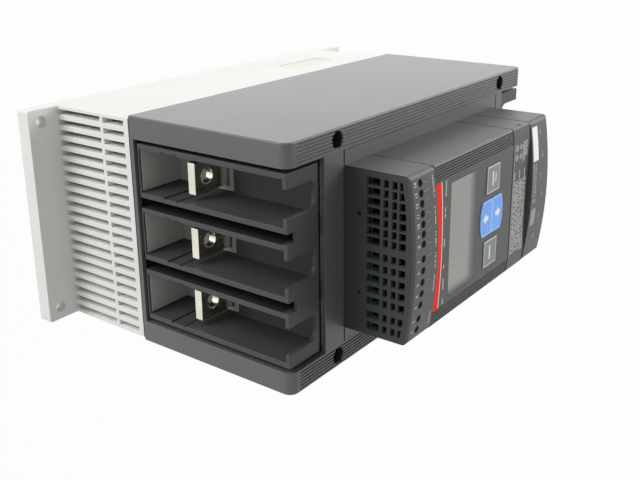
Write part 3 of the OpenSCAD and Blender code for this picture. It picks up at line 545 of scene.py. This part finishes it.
# Fields of ink on flat and arched faces

# Thickness of a print, how far it reaches into the face, and the length of its steps along an arch
PRINT_T = 0.05
PRINT_SINK = 0.02
ARCH_STEP = 3.0

# Plain marks: least width and its steps, least share of the height and its steps, narrow and wide gap,
# and the room that a further mark needs
MARK_W, MARK_W_STEP = 0.4, 0.06
MARK_RISE, MARK_RISE_STEP = 0.7, 0.05
MARK_GAP, MARK_WIDE_GAP = 0.28, 1.1
MARK_ROOM = 0.9


def add_block(bm, x, d, z):
    """A block between ranges across, forward and upward."""
    size = Vector((x[1] - x[0], d[1] - d[0], z[1] - z[0]))
    centre = Vector(((x[0] + x[1]) / 2, -(d[0] + d[1]) / 2, (z[0] + z[1]) / 2))
    place = Matrix.Translation(centre) @ Matrix.Diagonal(size.to_4d())
    bmesh.ops.create_cube(bm, size=1.0, matrix=place)


def print_block(bm, x, z, d=PANEL_D):
    """A field of ink on a front face."""
    add_block(bm, x, (d - PRINT_SINK, d + PRINT_T), z)


def print_frame(bm, x, z, line, d):
    """A thin printed outline."""
    print_block(bm, x, (z[0], z[0] + line), d)
    print_block(bm, x, (z[1] - line, z[1]), d)
    print_block(bm, (x[0], x[0] + line), (z[0] + line, z[1] - line), d)
    print_block(bm, (x[1] - line, x[1]), (z[0] + line, z[1] - line), d)


def arch_block(bm, x, z):
    """A field of ink that follows the arch of a cap."""
    count = max(1, round((x[1] - x[0]) / ARCH_STEP))
    step = (x[1] - x[0]) / count
    for i in range(count):
        start = len(bm.verts)
        add_block(bm, (x[0] + i * step, x[0] + (i + 1) * step), (0.0, 1.0), z)
        bm.verts.ensure_lookup_table()
        for vert in bm.verts[start:]:
            lift = PRINT_T if vert.co.y < -0.5 else -PRINT_SINK
            vert.co.y = -arch_depth(vert.co.x) - lift


def raise_ink(bm, points):
    """A field of ink raised from the outline of its underside."""
    face = bm.faces.new([bm.verts.new(point) for point in points])
    shape = bmesh.ops.extrude_face_region(bm, geom=[face])
    raised = [v for v in shape["geom"] if isinstance(v, bmesh.types.BMVert)]
    bmesh.ops.translate(bm, vec=(0, -PRINT_T - PRINT_SINK, 0), verts=raised)


def print_shape(bm, outline, d):
    """A field of ink with any outline, given as places across and upward, on a front face."""
    raise_ink(bm, [(x, -d + PRINT_SINK, z) for x, z in outline])


def arch_shape(bm, outline):
    """A field of ink with any outline on the arch of a cap."""
    raise_ink(bm, [(x, -arch_depth(x) + PRINT_SINK, z) for x, z in outline])


def mark_row(bm, x, z, height, seed, block=print_block):
    """A row of small plain marks of uneven length and spacing, the same at each run."""
    at = x[1]
    draw = seed
    while at - MARK_ROOM > x[0]:
        draw = (draw * 37 + 11) % 101
        width = MARK_W + MARK_W_STEP * (draw % 7)
        rise = height * (MARK_RISE + MARK_RISE_STEP * (draw % 5))
        block(bm, (at - width, at), (z - rise / 2, z + rise / 2))
        at -= width + (MARK_WIDE_GAP if draw % 6 == 0 else MARK_GAP)


def places_across(half, steps):
    """Places from one side to the other, with a number of steps on each half."""
    return [half * (i / steps - 1) for i in range(2 * steps + 1)]


# Print on the terminal cap

# Numbers: height, and how far above the screwdriver openings they stand
NUMBER_H = 3.0
NUMBER_RISE = 4.7

# Leader lines: width, start and ends below the openings, and how far they lean
LEADER_W = 0.2
LEADER_START = 3.0
LEADER_ENDS = (7.2, 8.4)
LEADER_LEANS = (-1.3, 0.6, 1.5)

# Rows of marks beside the seam
SEAM_MARKS_X = ((28.0, 41.0), (15.0, 25.0), (3.0, 12.0), (-8.0, 0.5), (-22.0, -12.0), (-41.0, -33.0))
SEAM_MARKS_Z = 60.2
SEAM_MARKS_H = 1.2


def number_mesh(text, height):
    """The mesh of a printed number, flat and centred, in millimetres."""
    curve = bpy.data.curves.new("number", "FONT")
    curve.body = text
    curve.size = height
    curve.align_x = "CENTER"
    curve.align_y = "CENTER"
    curve.resolution_u = 2
    curve.extrude = PRINT_T / 2
    holder = bpy.data.objects.new("number", curve)
    mesh = bpy.data.meshes.new_from_object(holder)
    bpy.data.objects.remove(holder)
    bpy.data.curves.remove(curve)
    return mesh


def terminal_numbers():
    """Plain numbers above the screwdriver openings, turned with the arch, with 1 at the left-hand end."""
    bm = bmesh.new()
    for i, x in enumerate(TERMINAL_X):
        mesh = number_mesh(str(len(TERMINAL_X) - i), NUMBER_H)
        place = (
            Matrix.Translation((x, -arch_depth(x) - PRINT_T / 4, DRIVER_Z + NUMBER_RISE))
            @ Matrix.Rotation(math.asin(x / ARCH_R), 4, "Z")
            @ Matrix.Rotation(math.radians(90), 4, "X")
        )
        mesh.transform(place)
        bm.from_mesh(mesh)
        bpy.data.meshes.remove(mesh)
    keep_print("terminal_numbers", bm, PALE_INK)


def terminal_sketch():
    """Thin leader lines from the openings to rows of marks beside the seam of the cap."""
    lines = bmesh.new()
    near = DRIVER_Z - LEADER_START
    for i, x in enumerate(TERMINAL_X):
        lean = LEADER_LEANS[i % 3]
        far = DRIVER_Z - LEADER_ENDS[i % 2]
        arch_shape(lines, [(x, near), (x + LEADER_W, near), (x + LEADER_W + lean, far), (x + lean, far)])
    close_print("terminal_sketch", lines, SKETCH_INK)
    marks = bmesh.new()
    for i, x in enumerate(SEAM_MARKS_X):
        mark_row(marks, x, SEAM_MARKS_Z, SEAM_MARKS_H, seed=5 + 9 * i, block=arch_block)
    close_print("terminal_marks", marks, LABEL_INK)


terminal_numbers()
terminal_sketch()


# Print on the panel

STRIP_LINE_W = 0.7
PANEL_MARKS_X = ((25.0, 34.5), (14.0, 20.0), (-2.5, 2.5), (-15.0, -12.0), (-27.0, -20.0), (-35.0, -31.5))
PANEL_MARKS_Z = 45.6
PANEL_MARKS_H = 1.1


def strip_edge_z(x):
    """Height of the curved edge of the red strip."""
    return STRIP_EDGE_Z + ARCH_R - math.sqrt(ARCH_R**2 - x**2)


def panel_marks():
    """A fine line along the curved edge of the red strip, and a row of marks below it."""
    bm = bmesh.new()
    edge = [(x, strip_edge_z(x)) for x in places_across(STRIP_HALF, steps=12)]
    print_shape(bm, edge + [(x, z + STRIP_LINE_W) for x, z in reversed(edge)], STRIP_TOP_D)
    for i, x in enumerate(PANEL_MARKS_X):
        mark_row(bm, x, PANEL_MARKS_Z, PANEL_MARKS_H, seed=3 + 13 * i)
    close_print("panel_marks", bm, PALE_INK)


panel_marks()


# Print on the service cover

# Fine line across the top
SERVICE_LINE_X = (-36.0, 36.2)
SERVICE_LINE_Z = (-37.8, -37.45)

# Rows of marks: height of the first, spacing and count; the last ones have a second row beside them
ROW_Z = -39.2
ROW_PITCH = 1.75
ROW_COUNT = 10
ROW_LEFT = -35.0
ROW_RIGHTS = (18.0, 12.0, 12.0, 12.0)
ROW_H = 1.35
SECOND_ROW_FIRST = 6
SECOND_ROW_LEFT = 16.0
SECOND_ROW_RIGHT = 35.0
SECOND_ROW_H = 1.25

# Round fields: places across, and height and radius of each pair
DISC_X = (32.6, 26.8)
DISC_PAIRS = ((-41.0, 2.1), (-46.4, 1.8))
DISC_SIDES = 24


def disc_outline(x, z, r):
    """A round field as an outline."""
    angles = [math.tau * i / DISC_SIDES for i in range(DISC_SIDES)]
    return [(x + r * math.cos(a), z + r * math.sin(a)) for a in angles]


def service_marks():
    """A fine line, rows of marks and a few round fields."""
    bm = bmesh.new()
    print_block(bm, SERVICE_LINE_X, SERVICE_LINE_Z)
    for row in range(ROW_COUNT):
        mark_row(bm, (ROW_LEFT, ROW_RIGHTS[row % 4]), ROW_Z - ROW_PITCH * row, ROW_H, seed=7 + 10 * row)
    for row in range(SECOND_ROW_FIRST, ROW_COUNT):
        x = (SECOND_ROW_LEFT + row, SECOND_ROW_RIGHT)
        mark_row(bm, x, ROW_Z - ROW_PITCH * row, SECOND_ROW_H, seed=4 + 12 * row)
    close_print("service_marks", bm, LABEL_INK)
    discs = bmesh.new()
    for z, r in DISC_PAIRS:
        for x in DISC_X:
            print_shape(discs, disc_outline(x, z, r), PANEL_D)
    close_print("service_discs", discs, SKETCH_INK)


service_marks()


# Print on the lower cap

# Two rows of marks
CAP_ROWS_X = (-8.0, 18.5)
CAP_ROWS_Z = (-62.4, -65.0)
CAP_ROWS_H = 1.0

# Groups of small marks: places, half width and height
CAP_GROUPS = ((36.0, -73.0), (22.0, -74.5), (9.0, -72.5), (-4.0, -75.0), (-18.0, -73.5), (-31.0, -70.5))
CAP_GROUP_HALF = 1.8
CAP_GROUP_H = 0.9

# Plain label field
CAP_FIELD_X = (-22.2, -11.0)
CAP_FIELD_Z = (-68.0, -61.4)


def cap_marks():
    """Rows and groups of marks beside a plain label field."""
    bm = bmesh.new()
    for row, z in enumerate(CAP_ROWS_Z):
        mark_row(bm, CAP_ROWS_X, z, CAP_ROWS_H, seed=9 + 21 * row, block=arch_block)
    for i, (x, z) in enumerate(CAP_GROUPS):
        places = (x - CAP_GROUP_HALF, x + CAP_GROUP_HALF)
        mark_row(bm, places, z, CAP_GROUP_H, seed=3 + 7 * i, block=arch_block)
    keep_print("cap_marks", bm, LABEL_INK)
    field = bmesh.new()
    arch_block(field, CAP_FIELD_X, CAP_FIELD_Z)
    keep_print("cap_field", field, SKETCH_INK)


cap_marks()


# Print on the keys

# Square keys: half size and width of the outline, and bars as half width, lower and upper edge
KEY_FRAME_HALF = 7.75
KEY_FRAME_W = 0.42
KEY_BARS = ((4.2, -0.1, 1.3), (2.6, -3.4, -2.3))

# Arrow keys: half width, height and radius of the rounded end, and where print starts beside the split
PAD_HALF = 10.5
PAD_TOP = 14.1
PAD_R = 24.17
PAD_SPLIT = 0.16

# Line round an arrow key: outer and inner inset, and width along the split
PAD_LINE_INSETS = (0.25, 0.75)
PAD_SPLIT_LINE_W = 0.6

# Arrow that points away from the split, and how far from it its middle lies
ARROW = ((-3.4, -0.4), (0.0, 3.4), (3.4, -0.4), (1.4, -0.4), (1.4, -3.1), (-1.4, -3.1), (-1.4, -0.4))
ARROW_Z = 7.6


def key_marks():
    """A thin outline and plain bars on the square keys: one bar on the left-hand key, two on the other."""
    for key, x, bars in (("left_key", -KEY_X, KEY_BARS[:1]), ("right_key", KEY_X, KEY_BARS)):
        bm = bmesh.new()
        sides = (x - KEY_FRAME_HALF, x + KEY_FRAME_HALF)
        ends = (KEY_Z - KEY_FRAME_HALF, KEY_Z + KEY_FRAME_HALF)
        print_frame(bm, sides, ends, KEY_FRAME_W, KEY_TOP_D)
        for half, low, high in bars:
            print_block(bm, (x - half, x + half), (KEY_Z + low, KEY_Z + high), KEY_TOP_D)
        keep_print(key + "_marks", bm, PALE_INK, key)


def pad_edge(inset):
    """Outline of an arrow key from the split up, round its end and back down."""
    half, r = PAD_HALF - inset, PAD_R - inset
    ends = reversed(places_across(half, steps=6))
    arc = [(x, PAD_TOP - PAD_R + math.sqrt(r**2 - x**2)) for x in ends]
    return [(half, PAD_SPLIT)] + arc + [(-half, PAD_SPLIT)]


def arrow_marks():
    """An arrow on each arrow key, and a line round its edge."""
    outer, inner = PAD_LINE_INSETS
    for side, key in ((1, "up_key"), (-1, "down_key")):
        arrow = bmesh.new()
        print_shape(arrow, [(x, KEY_Z + side * (ARROW_Z + z)) for x, z in ARROW], KEY_TOP_D)
        close_print(key + "_arrow", arrow, FINISHES["white_tag"], key)
        line = bmesh.new()
        outline = pad_edge(outer) + list(reversed(pad_edge(inner)))
        print_shape(line, [(x, KEY_Z + side * z) for x, z in outline], KEY_TOP_D)
        split = sorted((KEY_Z + side * PAD_SPLIT, KEY_Z + side * (PAD_SPLIT + PAD_SPLIT_LINE_W)))
        print_block(line, (-PAD_HALF + inner, PAD_HALF - inner), split, KEY_TOP_D)
        close_print(key + "_edge", line, SKY_INK, key)


key_marks()
arrow_marks()


# Light, floor and camera

WHITE = (1.0, 1.0, 1.0, 1.0)
FILL_STRENGTH = 0.47
FLOOR_HALF = 4.0
FLOOR_Z = -1.2
FLOOR_COLOUR = (0.9, 0.9, 0.9, 1.0)
FLOOR_WHITE_SHARE = 0.96

CAMERA_PLACE = (0.16460, -0.41563, 0.42437)
CAMERA_RIGHT = (-0.0092, -0.8031, -0.5957)
CAMERA_UP = (0.9532, 0.1730, -0.2479)
CAMERA_SENSOR = 36.0
CAMERA_LENS = 48.679
CAMERA_SHIFT_Y = -0.0781


def backed(tree, lit, white, share, output):
    """A share of white for the camera and in reflections, the lit shader for all other light."""
    rays = tree.nodes.new("ShaderNodeLightPath").outputs
    seen = calc(tree, "MAXIMUM", rays["Is Camera Ray"], rays["Is Transmission Ray"])
    seen = calc(tree, "MAXIMUM", seen, rays["Is Glossy Ray"])
    mix = tree.nodes.new("ShaderNodeMixShader")
    tree.links.new(calc(tree, "MULTIPLY", seen, share), mix.inputs["Fac"])
    tree.links.new(lit.outputs[0], mix.inputs[1])
    tree.links.new(white.outputs[0], mix.inputs[2])
    tree.links.new(mix.outputs[0], output.inputs["Surface"])


def glow(tree, kind, strength):
    """A plain white background or emission."""
    node = tree.nodes.new(kind)
    node.inputs["Color"].default_value = WHITE
    node.inputs["Strength"].default_value = strength
    return node


def studio_world():
    """Even fill light in front of a white backdrop."""
    world = bpy.data.worlds.new("studio")
    bpy.context.scene.world = world
    world.use_nodes = True
    tree = world.node_tree
    tree.nodes.clear()
    fill = glow(tree, "ShaderNodeBackground", strength=FILL_STRENGTH)
    white = glow(tree, "ShaderNodeBackground", strength=1.0)
    backed(tree, fill, white, share=1.0, output=tree.nodes.new("ShaderNodeOutputWorld"))


def pale_floor():
    """A wide floor that is nearly white to the camera and keeps the part's shadow."""
    bm = bmesh.new()
    bmesh.ops.create_grid(bm, x_segments=1, y_segments=1, size=FLOOR_HALF)
    bmesh.ops.translate(bm, vec=(0, 0, FLOOR_Z), verts=bm.verts)
    mesh = bpy.data.meshes.new("floor")
    bm.to_mesh(mesh)
    bm.free()
    floor = bpy.data.objects.new("floor", mesh)
    bpy.context.collection.objects.link(floor)
    material = bpy.data.materials.new("pale_floor")
    material.use_nodes = True
    tree = material.node_tree
    shader = tree.nodes["Principled BSDF"]
    shader.inputs["Base Color"].default_value = FLOOR_COLOUR
    shader.inputs["Roughness"].default_value = 0.9
    shader.inputs["Specular IOR Level"].default_value = 0.0
    white = glow(tree, "ShaderNodeEmission", strength=1.0)
    backed(tree, shader, white, FLOOR_WHITE_SHARE, output=tree.nodes["Material Output"])
    floor.data.materials.append(material)


def soft_lamp(name, place, aim, side, watts):
    """A square lamp of a given side, turned towards its aim."""
    data = bpy.data.lights.new(name, "AREA")
    data.shape = "SQUARE"
    data.size = side
    data.energy = watts
    lamp = bpy.data.objects.new(name, data)
    lamp.location = place
    lamp.rotation_mode = "QUATERNION"
    lamp.rotation_quaternion = (Vector(aim) - Vector(place)).to_track_quat("-Z", "Y")
    bpy.context.collection.objects.link(lamp)


def photo_camera():
    """A camera turned so that the standing part is seen as if it lay on its side."""
    data = bpy.data.cameras.new("photo_camera")
    data.sensor_width = CAMERA_SENSOR
    data.lens = CAMERA_LENS
    data.shift_y = CAMERA_SHIFT_Y
    camera = bpy.data.objects.new("photo_camera", data)
    up = Vector(CAMERA_UP)
    back = Vector(CAMERA_RIGHT).cross(up).normalized()
    right = up.cross(back).normalized()
    turn = Matrix((right, up.normalized(), back)).transposed()
    camera.matrix_world = Matrix.Translation(CAMERA_PLACE) @ turn.to_4x4()
    bpy.context.collection.objects.link(camera)
    bpy.context.scene.camera = camera


studio_world()
pale_floor()
soft_lamp("top_light", place=(1.05, 0.5, 1.05), aim=(0.0, -0.1, 0.0), side=0.9, watts=15.2)
soft_lamp("end_light", place=(0.3, 0.45, 1.15), aim=(0.0, -0.1, 0.12), side=0.6, watts=1.6)
soft_lamp("far_light", place=(0.275, 0.46, -0.71), aim=(0.06, -0.12, 0.0), side=0.9, watts=2.8)
soft_lamp("front_light", place=(0.35, -0.6, -0.55), aim=(0.0, -0.2, 0.0), side=0.5, watts=4.2)
photo_camera()
bpy.context.scene.view_settings.view_transform = "Standard"
